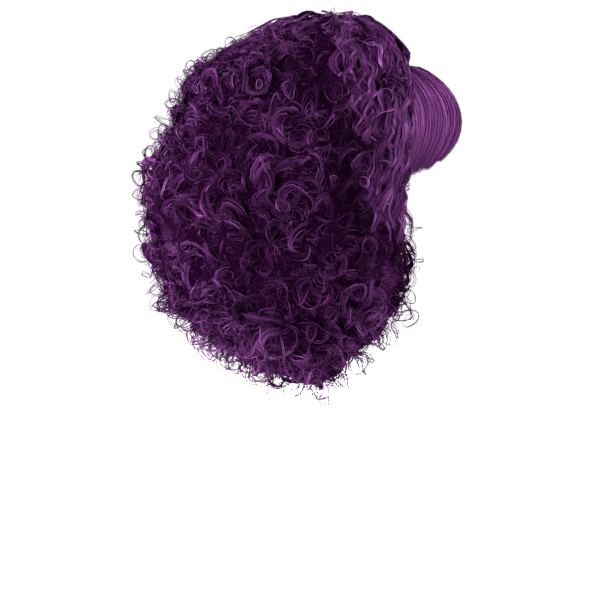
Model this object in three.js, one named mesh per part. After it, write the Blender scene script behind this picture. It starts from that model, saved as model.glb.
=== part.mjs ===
// A curly bob wig with a straight fringe, sewn on a stretch net cap.
// Millimetres, +Z up. The face side looks along -Y, and the wearer's right side is at -X.
// The origin is the centre of the cap's head opening, level with the tops of the ears.
import * as THREE from "three";

// Driving dimensions: the head form inside the cap, and the neck below it
const HEAD = { halfWidth: 76, halfLength: 97, crownHeight: 112 };
const NECK = { halfWidth: 64, halfLength: 58, depth: 130 };
const CAP_WALL = 1.5;
const SEAT_GAP = 0.6; // from the cap to the hair sewn on it
const TIER_GAP = 0.45; // from each row of curls to the surface that parts it from the next
const SIDE_GAP = 1; // degrees, from the curls' front edges to the fringe and the crown's top
const POLE_GAP = 0.6; // from the curls to the crown's top, at the middle of the crown

// The cap's rim: degrees round from the back, and height
const CAP_RIM = [
  { turn: 0, height: -62 },
  { turn: 45, height: -48 },
  { turn: 78, height: -4 },
  { turn: 93, height: 4 },
  { turn: 108, height: -20 },
  { turn: 126, height: 22 },
  { turn: 152, height: 50 },
  { turn: 180, height: 58 },
];
const CAP_STEPS = { round: 44, down: 6 };

// Outer form of the curls, one row for each section from the crown to the hem. back, side and
// front are the section's half-axes, edge is where it ends beside the face in degrees round from
// the back, and tuck is the share by which its front edge is rounded in.
const SECTIONS = [
  { height: 148, back: 0, side: 0, front: 0, edge: 118, tuck: 0 },
  { height: 142, back: 37, side: 41, front: 33, edge: 118, tuck: 0 },
  { height: 127, back: 83, side: 81, front: 50, edge: 118, tuck: 0 },
  { height: 103, back: 132, side: 113, front: 69, edge: 118, tuck: 0.02 },
  { height: 68, back: 156, side: 131, front: 88, edge: 117, tuck: 0.08 },
  { height: 28, back: 174, side: 141, front: 95, edge: 115, tuck: 0.14 },
  { height: -14, back: 189, side: 147, front: 110, edge: 104, tuck: 0.16 },
  { height: -58, back: 191, side: 150, front: 135, edge: 100, tuck: 0.16 },
  { height: -100, back: 181, side: 148, front: 145, edge: 110, tuck: 0.16 },
  { height: -136, back: 170, side: 139, front: 145, edge: 115, tuck: 0.17 },
  { height: -166, back: 135, side: 122, front: 140, edge: 114, tuck: 0.15 },
  { height: -191, back: 104, side: 99, front: 112, edge: 109, tuck: 0.08 },
  { height: -208, back: 74, side: 76, front: 80, edge: 99, tuck: 0 },
];
const SECTION_SPACING = 38; // along the outer form, from one row to the next
const TUCK_FROM = 0.75; // share of the way round to the front edge

// How far down the hem hangs, as a share of the heights above, in degrees round from the back
const HEM_DROP = [
  { turn: 0, share: 1 },
  { turn: 50, share: 1.06 },
  { turn: 66, share: 1.09 },
  { turn: 80, share: 0.98 },
  { turn: 95, share: 0.9 },
  { turn: 108, share: 0.88 },
  { turn: 120, share: 0.84 },
];

// The rows of wefts: the section where a row's curls end, and the share of the way from the crown
// to the cap's rim where the next row is sewn. The last row hangs free from the rim to the hem.
const TIERS = [
  { name: "curl_tier_1", ends: 2.3, sewn: 0.2 },
  { name: "curl_tier_2", ends: 3.7, sewn: 0.36 },
  { name: "curl_tier_3", ends: 5, sewn: 0.52 },
  { name: "curl_tier_4", ends: 6.3, sewn: 0.67 },
  { name: "curl_tier_5", ends: 7.6, sewn: 0.81 },
  { name: "curl_tier_6", ends: 8.9, sewn: 0.92 },
  { name: "curl_tier_7", ends: 12, hangs: true },
];
const RINGLETS = 11; // across each row
const RINGLET = { bulge: 6, twist: 5, turns: 2, fadeIn: 0.28, fadeOut: 0.5, fullRadius: 70 };
const TIER_STEPS = { perLock: 4, down: 8, root: 3, freeRoot: 9 };

// The smooth top, combed forward from the crown to a lip over the fringe's roots. It ends at a
// section, and seam is the angle down from the crown where it is last sewn to the cap.
const CROWN_TOP = { ends: 3, seam: 36, strips: 8, ridge: 2.4, perStrip: 3, down: 6, root: 6 };

// The fringe's profile from root to tip: reach from the head's axis as a share of the head's own
// half-axes, height at the middle of the forehead, and thickness where it hangs clear of the cap
const FRINGE_PROFILE = [
  { reach: 0.78, height: 96 },
  { reach: 0.94, height: 91 },
  { reach: 1.11, height: 81 },
  { reach: 1.24, height: 66, thick: 15 },
  { reach: 1.31, height: 47, thick: 14 },
  { reach: 1.28, height: 28, thick: 11 },
  { reach: 1.18, height: 14, thick: 8 },
  { reach: 1.08, height: 6, thick: 4 },
];
// It is sewn over a stretch of the way from the crown to the cap's rim, and comes down towards the
// temples by a drop at its roots and another at its tips, whose strips differ in length.
const FRINGE = {
  sewnFrom: 0.65,
  sewnTo: 0.97,
  rootDrop: 6,
  templeDrop: 24,
  strips: 13,
  ridge: 2.2,
  stagger: 3.5,
  staggerStep: 2, // radians from one strip to the next
  perStrip: 3,
  root: 3,
};

const MATERIALS = {
  curls: new THREE.MeshStandardMaterial({ color: 0x3a1440, roughness: 0.55, metalness: 0 }),
  straight: new THREE.MeshStandardMaterial({ color: 0x6f3b76, roughness: 0.4, metalness: 0 }),
  net: new THREE.MeshStandardMaterial({ color: 0x1d0f22, roughness: 0.9, metalness: 0 }),
};

const HALF_TURN = 180;
const QUARTER = Math.PI / 2;
const HAIR_CLEARANCE = CAP_WALL + SEAT_GAP;
const { lerp, clamp, degToRad } = THREE.MathUtils;
const smooth = (x) => THREE.MathUtils.smoothstep(x, 0, 1);
const steps = (count) => Array.from({ length: count + 1 }, (_, i) => i / count);

// A column of a table at a turn round from the back, eased between its rows, alike on both sides
function atTurn(table, column, turn) {
  const place = Math.abs(turn) > HALF_TURN ? 2 * HALF_TURN - Math.abs(turn) : Math.abs(turn);
  const next = clamp(table.findIndex((row) => row.turn >= place), 1, table.length - 1);
  const [low, high] = [table[next - 1], table[next]];
  return lerp(low[column], high[column], smooth((place - low.turn) / (high.turn - low.turn)));
}

// A column of SECTIONS at a place counted in rows from the crown, on a curve through the rows
function atSection(place, column) {
  const last = SECTIONS.length - 1;
  const row = Math.min(Math.floor(place), last - 1);
  const [a, b, c, d] = [-1, 0, 1, 2].map((i) => SECTIONS[clamp(row + i, 0, last)][column]);
  const t = place - row;
  const [slopeIn, slopeOut] = [(c - a) / 2, (d - b) / 2];
  const [square, cube] = [t * t, t * t * t];
  return (
    b * (2 * cube - 3 * square + 1) +
    slopeIn * (cube - 2 * square + t) +
    c * (3 * square - 2 * cube) +
    slopeOut * (cube - square)
  );
}

// The point of an ellipse that lies at an angle round from the back, at a height
function ellipsePoint(side, length, turn, height) {
  const angle = degToRad(turn);
  const [across, along] = [Math.sin(angle), Math.cos(angle)];
  const radius = side > 0 ? 1 / Math.hypot(across / side, along / length) : 0;
  return new THREE.Vector3(radius * across, radius * along, height);
}

// A point on the head form grown by a clearance. sweep is the angle down from the crown, and runs
// on below the widest level as a length of neck.
function headPoint(sweep, turn, clearance) {
  const crown = HEAD.crownHeight + clearance;
  const spread = sweep < QUARTER ? Math.sin(sweep) : 1;
  const height = sweep < QUARTER ? crown * Math.cos(sweep) : crown * (QUARTER - sweep);
  const narrowed = smooth(-height / NECK.depth);
  const side = lerp(HEAD.halfWidth, NECK.halfWidth, narrowed) + clearance;
  const length = lerp(HEAD.halfLength, NECK.halfLength, narrowed) + clearance;
  return ellipsePoint(side * spread, length * spread, turn, height);
}

// The sweep at which the head form comes down to a height
function sweepTo(height) {
  const ratio = height / HEAD.crownHeight;
  return ratio > 0 ? Math.acos(ratio) : QUARTER - ratio;
}

const rimSweep = (turn) => sweepTo(atTurn(CAP_RIM, "height", turn));

// A point on the hair's outer form
function outerPoint(place, turn, tucked = 1) {
  const isBack = Math.cos(degToRad(turn)) > 0;
  const side = tucked * atSection(place, "side");
  const length = tucked * atSection(place, isBack ? "back" : "front");
  const height = atSection(place, "height");
  return ellipsePoint(side, length, turn, height < 0 ? height * atTurn(HEM_DROP, "share", turn) : height);
}

// A closed mesh through a list of loops with as many points each. Loops that don't run round in a
// ring are closed off at both ends, and points that fall together become one.
function skin(loops, isRing = false) {
  const points = [];
  const triangles = [];
  const places = new Map();
  const vertex = (p) => {
    const key = p.toArray().map((x) => x.toFixed(3)).join();
    if (!places.has(key)) places.set(key, points.push(p) - 1);
    return places.get(key);
  };
  const face = (...corners) => {
    const ids = corners.map(vertex);
    if (new Set(ids).size === 3) triangles.push(...ids);
  };
  const pairs = isRing ? loops.length : loops.length - 1;
  for (let i = 0; i < pairs; i++) {
    const [here, there] = [loops[i], loops[(i + 1) % loops.length]];
    here.forEach((a, n) => {
      const next = (n + 1) % here.length;
      const [b, c, d] = [there[n], there[next], here[next]];
      // The shorter diagonal, so that facing surfaces of two pieces fold alike
      if (a.distanceTo(c) <= b.distanceTo(d)) {
        face(a, b, c);
        face(a, c, d);
      } else {
        face(a, b, d);
        face(b, c, d);
      }
    });
  }
  if (!isRing) {
    endFaces(loops[0]).forEach(([a, b, c]) => face(a, b, c));
    endFaces(loops.at(-1)).forEach(([a, b, c]) => face(a, c, b));
  }
  const geometry = new THREE.BufferGeometry().setFromPoints(points).setIndex(triangles);
  if (signedVolume(points, triangles) < 0) geometry.setIndex(triangles.reverse());
  geometry.computeVertexNormals();
  return geometry;
}

// Triangles that fill a loop, turning the way that its points run
function endFaces(loop) {
  const flat = loop.map((p) => new THREE.Vector2(Math.hypot(p.x, p.y), p.z));
  const way = Math.sign(THREE.ShapeUtils.area(flat));
  return THREE.ShapeUtils.triangulateShape(flat, []).map((ids) => {
    const own = Math.sign(THREE.ShapeUtils.area(ids.map((i) => flat[i])));
    return (own === way ? ids : [...ids].reverse()).map((i) => loop[i]);
  });
}

function signedVolume(points, triangles) {
  let sum = 0;
  for (let i = 0; i < triangles.length; i += 3) {
    const [a, b, c] = triangles.slice(i, i + 3).map((id) => points[id]);
    sum += a.dot(new THREE.Vector3().crossVectors(b, c));
  }
  return sum / 6;
}

// The net cap: a dome with a thin wall, open below, cut out over the ears
function cap() {
  const turns = steps(CAP_STEPS.round).slice(0, -1).map((share) => share * 2 * HALF_TURN);
  const loops = turns.map((turn) => {
    const wall = (clearance) =>
      steps(CAP_STEPS.down).map((share) => headPoint(share * rimSweep(turn), turn, clearance));
    return [...wall(CAP_WALL), ...wall(0).reverse()];
  });
  return skin(loops, true);
}

// How far a row of ringlets stands out: rounded locks side by side, each with a twist round it
function ringletRelief(row, isShifted, across, down) {
  const lane = ((across + 1) / 2) * RINGLETS + (isShifted ? 0.5 : 0);
  const over = 2 * (lane - Math.floor(lane)) - 1;
  const twist = (1 + Math.cos(2 * Math.PI * RINGLET.turns * down + Math.PI * over)) / 2;
  const fadeOut = row.hangs ? smooth((1 - down) / RINGLET.fadeOut) : 1;
  const fade = smooth(down / RINGLET.fadeIn) * fadeOut;
  return fade * (RINGLET.bulge * Math.sqrt(1 - over * over) + RINGLET.twist * twist);
}

// One row of wefts: a band of ringlets from its seam on the cap out to the outer form, round the
// back from one side of the face to the other
function curlTier(index) {
  const row = TIERS[index];
  const above = index ? TIERS[index - 1] : { ends: 0, sewn: 0 };
  const gap = TIER_GAP / SECTION_SPACING;
  const from = above.ends + (index ? gap : 0);
  const to = row.ends - (row.hangs ? 0 : gap);
  const sweepGap = TIER_GAP / HEAD.halfLength;
  const stations = steps(RINGLETS * TIER_STEPS.perLock).map((share) => 2 * share - 1);

  const loops = stations.map((across) => {
    const turnAt = (down) => atSection(lerp(from, to, down), "edge") * across;
    const topSweep = above.sewn * rimSweep(turnAt(0)) + (index ? sweepGap : 0);
    const lowSweep = row.hangs
      ? sweepTo(outerPoint(to, turnAt(1)).z)
      : row.sewn * rimSweep(turnAt(1)) - sweepGap;
    const root = (down) => headPoint(lerp(topSweep, lowSweep, down), turnAt(down), HAIR_CLEARANCE);
    const rounding = smooth((Math.abs(across) - TUCK_FROM) / (1 - TUCK_FROM));
    const base = (down) => {
      const place = lerp(from, to, down);
      return outerPoint(place, turnAt(down), 1 - atSection(place, "tuck") * rounding);
    };
    const outer = (down) => {
      const point = base(down);
      const near = smooth(Math.hypot(point.x, point.y) / RINGLET.fullRadius) * (1 - rounding);
      const relief = near * ringletRelief(row, index % 2 === 1, across, down);
      return point.addScaledVector(point.clone().sub(root(down)).normalize(), relief);
    };
    const rootSteps = steps(row.hangs ? TIER_STEPS.freeRoot : TIER_STEPS.root);
    return [...steps(TIER_STEPS.down).map(outer), base(1), ...rootSteps.reverse().map(root)];
  });
  return skin(loops);
}

// A strip's place across a row of strips, as its number and the share of the way over it
function stripAt(across, strips) {
  const lane = ((across + 1) / 2) * strips;
  return { number: Math.floor(lane), over: lane - Math.floor(lane) };
}

// The smooth top of the crown, in strips that run forward from the middle of the crown
function crownTop() {
  const { ends, seam, strips, ridge, perStrip, down, root } = CROWN_TOP;
  const halfSpan = HALF_TURN - SECTIONS[0].edge - SIDE_GAP;
  const stations = steps(strips * perStrip).map((share) => 2 * share - 1);
  const loops = stations.map((across) => {
    const turn = HALF_TURN + across * halfSpan;
    const hump = ridge * Math.sin(Math.PI * stripAt(across, strips).over);
    const outer = (share) => {
      const base = outerPoint(share * ends, turn);
      base.z += hump * share;
      return base;
    };
    const seat = (share) => headPoint(share * degToRad(seam), turn, HAIR_CLEARANCE);
    return [...steps(down).map(outer), ...steps(root).reverse().map(seat)];
  });
  return skin(loops);
}

// The fringe: straight strips from the front of the cap, out over the forehead to the brow
function fringe() {
  const { sewnFrom, sewnTo, strips, perStrip, root } = FRINGE;
  const halfSpan = HALF_TURN - SECTIONS[0].edge - SIDE_GAP;
  const last = FRINGE_PROFILE.length - 1;
  const flat = FRINGE_PROFILE.map((row) => new THREE.Vector2(row.reach * HEAD.halfLength, row.height));
  const inward = flat.map((_, i) => {
    const along = flat[Math.min(i + 1, last)].clone().sub(flat[Math.max(i - 1, 0)]).normalize();
    return new THREE.Vector2(along.y, -along.x);
  });
  const stations = steps(strips * perStrip).map((share) => 2 * share - 1);

  const loops = stations.map((across) => {
    const turn = HALF_TURN + across * halfSpan;
    const { number, over } = stripAt(across, strips);
    const hump = FRINGE.ridge * Math.sin(Math.PI * over);
    const tipShift = FRINGE.stagger * Math.sin(FRINGE.staggerStep * number) * Math.sin(Math.PI * over);
    const at = (i, depth) => {
      const p = flat[i].clone().addScaledVector(inward[i], depth);
      const share = i / last;
      const reach = p.x / HEAD.halfLength;
      const sideDrop = lerp(FRINGE.rootDrop, FRINGE.templeDrop, share * share) * across * across;
      const drop = sideDrop + tipShift * share * share;
      return ellipsePoint(HEAD.halfWidth * reach, HEAD.halfLength * reach, turn, p.y - drop);
    };
    const outer = flat.map((_, i) => at(i, i ? -hump : 0));
    const inner = FRINGE_PROFILE.flatMap(({ thick }, i) => (thick ? [at(i, thick)] : []));
    const seat = steps(root).map((share) =>
      headPoint(lerp(sewnTo, sewnFrom, share) * rimSweep(turn), turn, HAIR_CLEARANCE),
    );
    return [...outer, ...inner.reverse(), ...seat];
  });
  return skin(loops);
}

const wig = new THREE.Group();
const add = (name, geometry, material) => {
  const mesh = new THREE.Mesh(geometry, material);
  mesh.name = name;
  wig.add(mesh);
  return mesh;
};
add("cap", cap(), MATERIALS.net);
TIERS.forEach((row, index) => add(row.name, curlTier(index), MATERIALS.curls));
add("crown_top", crownTop(), MATERIALS.straight).position.y = -POLE_GAP;
add("fringe", fringe(), MATERIALS.straight);

export default wig;
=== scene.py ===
"""A purple curly wig with a straight fringe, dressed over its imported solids.

Metres, +Z up. The face side looks along -Y, and the wearer's right side is at -X. The rules for hair are
in millimetres, and turned into metres where they are used.
"""
import math

import bmesh
import bpy
import numpy as np
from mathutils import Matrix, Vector
from mathutils.bvhtree import BVHTree


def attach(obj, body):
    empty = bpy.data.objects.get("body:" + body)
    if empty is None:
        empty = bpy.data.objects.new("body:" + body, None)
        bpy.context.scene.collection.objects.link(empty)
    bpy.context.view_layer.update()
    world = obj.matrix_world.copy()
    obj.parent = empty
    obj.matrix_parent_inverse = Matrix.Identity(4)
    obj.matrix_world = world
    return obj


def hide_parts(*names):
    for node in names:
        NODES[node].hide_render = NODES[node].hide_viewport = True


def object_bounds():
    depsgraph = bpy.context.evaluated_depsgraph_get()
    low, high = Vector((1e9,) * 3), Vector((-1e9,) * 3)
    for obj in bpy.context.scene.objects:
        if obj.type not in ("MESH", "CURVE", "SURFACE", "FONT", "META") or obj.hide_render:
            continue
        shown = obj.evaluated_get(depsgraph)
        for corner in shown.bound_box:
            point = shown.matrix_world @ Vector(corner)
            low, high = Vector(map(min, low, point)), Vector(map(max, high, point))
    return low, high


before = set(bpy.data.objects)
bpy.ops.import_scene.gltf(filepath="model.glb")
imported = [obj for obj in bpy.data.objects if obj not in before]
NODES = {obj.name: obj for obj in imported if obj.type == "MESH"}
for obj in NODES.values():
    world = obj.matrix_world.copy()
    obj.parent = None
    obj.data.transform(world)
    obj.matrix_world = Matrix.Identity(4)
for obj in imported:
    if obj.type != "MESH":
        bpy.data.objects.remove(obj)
CAD_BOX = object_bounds()
TIERS = sorted(name for name in NODES if name.startswith("curl_tier_"))
RNG = np.random.default_rng(11)
MM = 0.001
FULL_TURN = 2 * math.pi
DOWN = np.array([0.0, 0.0, -1.0])
BAKE_MAP = "OFBake"  # across it lies a fibre's tone, and along it the way from root to tip
WHITE = (1, 1, 1)


def smooth(x):
    x = np.clip(x, 0, 1)
    return x * x * (3 - 2 * x)


def grows(places, none, full):
    """0 as far as one place and 1 from another, both in millimetres, with a smooth change between them."""
    return smooth((places - none * MM) / ((full - none) * MM))


def unit(v):
    return v / np.maximum(np.linalg.norm(v, axis=-1, keepdims=True), 1e-9)


def between(low, high, count):
    return RNG.uniform(low, high, count)


def add_object(name, data):
    thing = bpy.data.objects.new(name, data)
    bpy.context.scene.collection.objects.link(thing)
    return thing


# Materials
class Look:
    """A material whose nodes are added one by one, each with what feeds it."""

    def __init__(self, name):
        self.material = bpy.data.materials.new(name)
        self.material.use_nodes = True
        self.tree = self.material.node_tree
        self.shader = self.tree.nodes["Principled BSDF"]

    def feed(self, node, inputs):
        """Link each input to the output that is given for it, or set it to the value that is given."""
        for socket, source in inputs.items():
            if isinstance(source, bpy.types.NodeSocket):
                self.tree.links.new(source, node.inputs[socket])
            else:
                node.inputs[socket].default_value = source

    def add(self, kind, inputs, **settings):
        """The outputs of a new node."""
        node = self.tree.nodes.new("ShaderNode" + kind)
        for setting, value in settings.items():
            setattr(node, setting, value)
        self.feed(node, inputs)
        return node.outputs

    def math(self, operation, *values):
        return self.add("Math", dict(enumerate(values)), operation=operation)["Value"]

    def ramp(self, value, stops):
        """The colour that belongs to a value, blended between stops."""
        node = self.tree.nodes.new("ShaderNodeValToRGB")
        self.feed(node, {"Fac": value})
        elements = node.color_ramp.elements
        while len(elements) < len(stops):
            elements.new(1.0)
        for element, (place, colour) in zip(elements, stops):
            element.position = place
            element.color = (*colour, 1)
        return node.outputs["Color"]

    def finish(self, inputs):
        self.feed(self.shader, inputs)
        return self.material

    def bumped(self, height, strength, distance):
        """A normal for a surface that is raised in millimetres."""
        inputs = {"Height": height, "Strength": strength, "Distance": distance * MM}
        return self.add("Bump", inputs)["Normal"]


STRANDS_ON_MAP = (220, 2.5, 1)  # fine strands across the map of tones, and changes along it
TONE_STOPS = (0.0, 0.5, 0.85, 1.0)
FULL_TONE_FROM, FULL_TONE_TO = 0.5, 0.75  # of the way from root to tip
TIP_SHADE = (0.7, 0.7, 0.7)
SHINE_TINT = (0.8, 0.28, 0.84, 1)
SHEEN_TINT = (0.55, 0.2, 0.6, 1)


def fibre_material(name, tones, root_shade, contrast, roughness, tinted_shine, sheen):
    """Glossy hair in fine strands: the tone differs across the map, and roots and tips are darker."""
    look = Look(name)
    place = look.add("UVMap", {}, uv_map=BAKE_MAP)["UV"]
    parts = look.add("SeparateXYZ", {"Vector": place})
    stretched = look.add("VectorMath", {0: place, 1: STRANDS_ON_MAP}, operation="MULTIPLY")["Vector"]
    noise = {"Vector": stretched, "Scale": 1, "Detail": 1}
    strands = look.add("TexNoise", noise, noise_dimensions="2D")["Fac"]
    lowered = look.math("SUBTRACT", parts["X"], contrast / 2)
    varied = look.math("MULTIPLY_ADD", strands, contrast, lowered)
    tone = look.ramp(varied, list(zip(TONE_STOPS, tones)))
    shades = [(0.0, (root_shade,) * 3), (FULL_TONE_FROM, WHITE), (FULL_TONE_TO, WHITE), (1.0, TIP_SHADE)]
    shaded = {"Factor": 1.0, "A": tone, "B": look.ramp(parts["Y"], shades)}
    return look.finish({
        "Base Color": look.add("Mix", shaded, data_type="RGBA", blend_type="MULTIPLY")["Result"],
        "Normal": look.bumped(strands, 0.5, 0.4),
        "Roughness": roughness,
        "Metallic": tinted_shine,
        "Specular IOR Level": 0.0,
        "Specular Tint": SHINE_TINT,
        "Sheen Weight": sheen,
        "Sheen Roughness": 0.4,
        "Sheen Tint": SHEEN_TINT,
    })


MATTED_STIR, MATTED_STIR_SCALE = (0.03, 0.03, 0.03), 60
MATTED_CENTRES, MATTED_RINGS = 48, 55  # centres in each metre, and how tightly strands wind round them
# Painted light: between these depths the matted hair's colour is scaled up towards the face.
PAINTED_LIGHT_FROM, PAINTED_LIGHT_FULL_AT = 20 * MM, -30 * MM  # from behind the wig's origin to in front of it


def matted_material(name, dark, light, painted_light_at_face=1):
    """The dense hair under the fibres: matted strands that wind round many centres, lighter by the face as
    painted light.
    """
    look = Look(name)
    place = look.add("TexCoord", {})["Object"]
    stir = look.add("TexNoise", {"Vector": place, "Scale": MATTED_STIR_SCALE})["Color"]
    stirring = {0: stir, 1: MATTED_STIR, 2: place}
    stirred = look.add("VectorMath", stirring, operation="MULTIPLY_ADD")["Vector"]
    centres = look.add("TexVoronoi", {"Vector": stirred, "Scale": MATTED_CENTRES})["Distance"]
    bands = look.math("SINE", look.math("MULTIPLY", centres, MATTED_RINGS))
    tone = look.ramp(bands, [(0.0, dark), (1.0, light)])
    # Painted light: the colour grows lighter towards the face, lifting the shaded pockets there.
    lighter = look.add("MapRange", {
        "Value": look.add("SeparateXYZ", {"Vector": place})["Y"],
        "From Min": PAINTED_LIGHT_FROM,
        "From Max": PAINTED_LIGHT_FULL_AT,
        "To Min": 1,
        "To Max": painted_light_at_face,
    })["Result"]
    return look.finish({
        "Base Color": look.add("VectorMath", {0: tone, "Scale": lighter}, operation="SCALE")["Vector"],
        "Normal": look.bumped(bands, 0.8, 1),
        "Roughness": 0.8,
        "Specular IOR Level": 0,
    })


def plain_material(name, colour):
    return Look(name).finish({"Base Color": (*colour, 1), "Roughness": 0.7, "Specular IOR Level": 0.1})


NET_SCALE = 420  # holes in each metre
NET_STOPS = [(0.25, (0.006, 0.004, 0.007)), (0.6, (0.035, 0.022, 0.038))]
WEFT_DISTANCE = 14 * MM  # between rows round the cap
WEFT_STOPS = [(0.75, (0, 0, 0)), (0.9, WHITE)]
WEFT_COLOUR = (0.07, 0.014, 0.075, 1)


def net_material():
    """The cap: a fine dark net with a row of sewn wefts round it at even heights."""
    look = Look("cap_net")
    place = look.add("TexCoord", {})["Object"]
    height = look.add("SeparateXYZ", {"Vector": place})["Z"]
    rows = look.math("SINE", look.math("MULTIPLY", height, FULL_TURN / WEFT_DISTANCE))
    holes = look.add("TexVoronoi", {"Vector": place, "Scale": NET_SCALE})["Distance"]
    mixed = {"Factor": look.ramp(rows, WEFT_STOPS), "A": look.ramp(holes, NET_STOPS), "B": WEFT_COLOUR}
    return look.finish({
        "Base Color": look.add("Mix", mixed, data_type="RGBA")["Result"],
        "Roughness": 0.8,
        "Specular IOR Level": 0.2,
    })


# Camera, floor and light
VIEW_AZIMUTH = math.radians(-107)  # the photograph's view: from the right, a little from behind and above
VIEW_ELEVATION = math.radians(4)
VIEW_DISTANCE = 1.8
VIEW_WIDTH = 0.6  # of the scene, at the wig's middle
SENSOR_WIDTH = 36
AIM_ACROSS, AIM_UP = -35 * MM, -135 * MM  # of the picture's middle from the wig's origin
FLOOR_DROP = 180 * MM  # below the hem
FLOOR_HALF = 30.0
FLOOR_COLOUR = (0.85, 0.85, 0.85, 1)
FLOOR_GLOW = 0.95  # for the camera alone, so that the pale floor runs into the background without a line
AMBIENT = 0.12
LAMPS_AIM = Vector((0, 0.03, -0.03))
# Place, breadth in metres and power in watts
LAMPS = {
    "key": ((-1.1, -1.3, 1.5), 0.9, 97),
    "fill": ((-1.3, 1.5, 0.2), 1.1, 43),
    "far_side": ((1.5, -1.0, 0.5), 1.0, 38),
    "back": ((0.4, 1.9, 0.4), 1.0, 98),
}


def look_along(thing, way):
    """Turn a camera or a lamp to look that way."""
    thing.rotation_mode = "QUATERNION"
    thing.rotation_quaternion = way.to_track_quat("-Z", "Y")


def add_camera():
    across = Vector((math.cos(VIEW_AZIMUTH), math.sin(VIEW_AZIMUTH), 0))
    behind = Vector((math.sin(VIEW_AZIMUTH), -math.cos(VIEW_AZIMUTH), 0))
    back = behind * math.cos(VIEW_ELEVATION) + Vector((0, 0, math.sin(VIEW_ELEVATION)))
    aim = across * AIM_ACROSS + Vector((0, 0, AIM_UP))
    camera = add_object("camera", bpy.data.cameras.new("camera"))
    camera.data.sensor_width = SENSOR_WIDTH
    camera.data.lens = SENSOR_WIDTH * VIEW_DISTANCE / VIEW_WIDTH
    camera.location = aim + back * VIEW_DISTANCE
    look_along(camera, -back)
    bpy.context.scene.camera = camera


def add_world():
    """A white background for the camera, and a dim even light on the wig."""
    world = bpy.data.worlds.new("studio")
    bpy.context.scene.world = world
    world.use_nodes = True
    nodes, links = world.node_tree.nodes, world.node_tree.links
    shown, lighting = nodes["Background"], nodes.new("ShaderNodeBackground")
    for background in (shown, lighting):
        background.inputs["Color"].default_value = (*WHITE, 1)
    lighting.inputs["Strength"].default_value = AMBIENT
    path = nodes.new("ShaderNodeLightPath")
    mix = nodes.new("ShaderNodeMixShader")
    links.new(path.outputs["Is Camera Ray"], mix.inputs["Fac"])
    links.new(lighting.outputs["Background"], mix.inputs[1])
    links.new(shown.outputs["Background"], mix.inputs[2])
    links.new(mix.outputs["Shader"], nodes["World Output"].inputs["Surface"])
    bpy.context.scene.view_settings.view_transform = "Standard"


def add_lamps():
    for name, (place, breadth, power) in LAMPS.items():
        light = bpy.data.lights.new(name, "AREA")
        light.shape = "DISK"
        light.size = breadth
        light.energy = power
        lamp = add_object(name, light)
        lamp.location = place
        look_along(lamp, LAMPS_AIM - Vector(place))


def add_floor():
    look = Look("floor")
    seen = look.add("LightPath", {})["Is Camera Ray"]
    material = look.finish({
        "Base Color": FLOOR_COLOUR,
        "Roughness": 0.9,
        "Emission Color": (*WHITE, 1),
        "Emission Strength": look.math("MULTIPLY", seen, FLOOR_GLOW),
    })
    height = CAD_BOX[0].z - FLOOR_DROP
    corners = [(FLOOR_HALF * x, FLOOR_HALF * y, height) for x, y in ((-1, -1), (1, -1), (1, 1), (-1, 1))]
    mesh = bpy.data.meshes.new("floor")
    mesh.from_pydata(corners, [], [(0, 1, 2, 3)])
    mesh.materials.append(material)
    floor = add_object("floor", mesh)


# Meshes
def softened(grid, direction, passes=4):
    """A grid with its corners rounded off, apart from its two ends in that direction."""
    grid = np.moveaxis(grid, direction, 0).copy()
    for _ in range(passes):
        grid[1:-1] = (grid[:-2] + 2 * grid[1:-1] + grid[2:]) / 4
    return np.moveaxis(grid, 0, direction)


class Fibres:
    """Flat fibres gathered for one mesh, each a run of points with a width and a tone."""

    def __init__(self):
        self.points, self.quads, self.places = [], [], []
        self.count = 0

    def add(self, runs, sides, widths, tones, spread=0.004, ridge=None):
        """Fibres with two points across, or with a third one between them that is raised by the ridge."""
        number, steps = runs.shape[:2]
        across = sides * widths[..., None]
        rails = [runs - across, runs + across]
        if ridge is not None:
            rails.insert(1, runs + ridge)
        rows = len(rails)
        points = np.stack(rails, axis=2)
        ids = self.count + np.arange(number * steps * rows).reshape(number, steps, rows)
        quads = np.stack([ids[:, :-1, :-1], ids[:, :-1, 1:], ids[:, 1:, 1:], ids[:, 1:, :-1]], axis=-1)
        places = np.empty((number, steps, rows, 2))
        places[..., 0] = tones[:, None, None] + spread * np.linspace(-1, 1, rows)
        places[..., 1] = np.linspace(0.01, 0.99, steps)[None, :, None]
        self.points.append(points.reshape(-1, 3))
        self.quads.append(quads.reshape(-1, 4))
        self.places.append(places.reshape(-1, 2))
        self.count += number * steps * rows

    def build(self, name, material):
        points, quads = np.concatenate(self.points), np.concatenate(self.quads)
        places = np.concatenate(self.places)
        mesh = bpy.data.meshes.new(name)
        mesh.vertices.add(len(points))
        mesh.vertices.foreach_set("co", points.astype(np.float32).ravel())
        mesh.loops.add(quads.size)
        mesh.loops.foreach_set("vertex_index", quads.astype(np.int32).ravel())
        mesh.polygons.add(len(quads))
        mesh.polygons.foreach_set("loop_start", np.arange(0, quads.size, 4, dtype=np.int32))
        shade_smooth(mesh)
        layer = mesh.uv_layers.new(name=BAKE_MAP)
        layer.uv.foreach_set("vector", places[quads].astype(np.float32).ravel())
        mesh.update(calc_edges=True)
        mesh.materials.append(material)
        return add_object(name, mesh)


def shade_smooth(mesh):
    mesh.polygons.foreach_set("use_smooth", np.ones(len(mesh.polygons), dtype=bool))


def finish_piece(piece, slot, *nodes):
    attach(piece, "root")
    if nodes:
        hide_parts(*nodes)


def joined(names):
    """Some CAD solids in one mesh, which is freed after use."""
    together = bmesh.new()
    for name in names:
        together.from_mesh(NODES[name].data)
    return together


def remesh(piece, voxel):
    """Replace a piece's mesh by one even closed surface."""
    modifier = piece.modifiers.new("remesh", "REMESH")
    modifier.mode = "VOXEL"
    modifier.voxel_size = voxel
    done = piece.evaluated_get(bpy.context.evaluated_depsgraph_get())
    old, piece.data = piece.data, bpy.data.meshes.new_from_object(done)
    piece.modifiers.clear()
    bpy.data.meshes.remove(old)


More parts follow.
